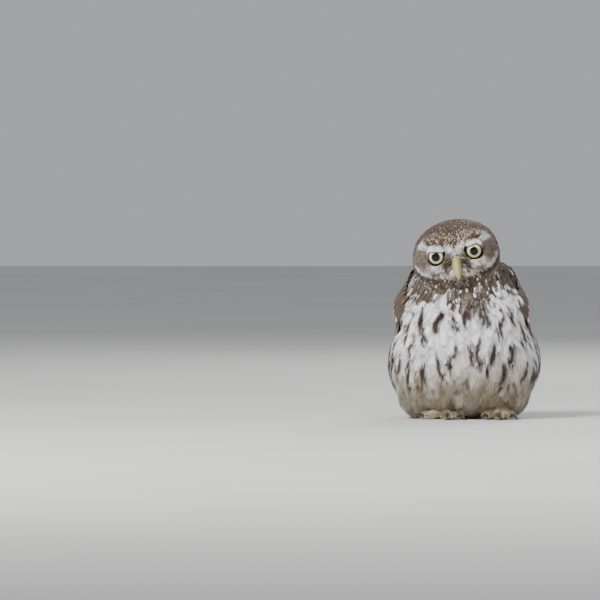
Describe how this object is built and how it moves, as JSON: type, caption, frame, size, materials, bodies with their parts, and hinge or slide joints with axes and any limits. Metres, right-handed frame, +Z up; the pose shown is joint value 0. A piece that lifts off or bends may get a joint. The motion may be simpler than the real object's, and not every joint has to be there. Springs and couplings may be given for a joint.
{
  "type": "little owl",
  "caption": "Still, life-size little owl sitting fluffed up, head cocked to its right, wings and tail folded, resting on its feet and tail tip.",
  "frame": {"origin": "middle of the whole bird's footprint, on the floor it rests on", "axes": "+Z up; the bird faces -Y with its tail towards +Y, and its left side is at +X"},
  "size_m": [0.1116, 0.1648, 0.1467],
  "materials": {
    "pale_plumage": "soft matte, white with brown streaks",
    "brown_plumage": "soft matte, brown with pale spots",
    "face_plumage": "soft matte, greyish white and brown",
    "foot_plumage": "soft matte, buff",
    "bill_horn": "satin, olive yellow",
    "claw_horn": "satin, blackish brown",
    "eye": "wet gloss, pale yellow with a black pupil"
  },
  "bodies": {
    "root": {"head": "face_plumage", "neck": "brown_plumage", "torso": "pale_plumage", "tail": "brown_plumage", "bill_upper": "bill_horn", "bill_lower": "bill_horn", "eye_left": "eye", "wing_left": "brown_plumage", "eye_right": "eye", "wing_right": "brown_plumage", "leg_left": "foot_plumage", "foot_left": "foot_plumage", "leg_right": "foot_plumage", "foot_right": "foot_plumage", "claw_left_inner": "claw_horn", "claw_left_middle": "claw_horn", "claw_left_outer": "claw_horn", "claw_left_hind": "claw_horn", "claw_right_inner": "claw_horn", "claw_right_middle": "claw_horn", "claw_right_outer": "claw_horn", "claw_right_hind": "claw_horn"}
  },
  "joints": []
}
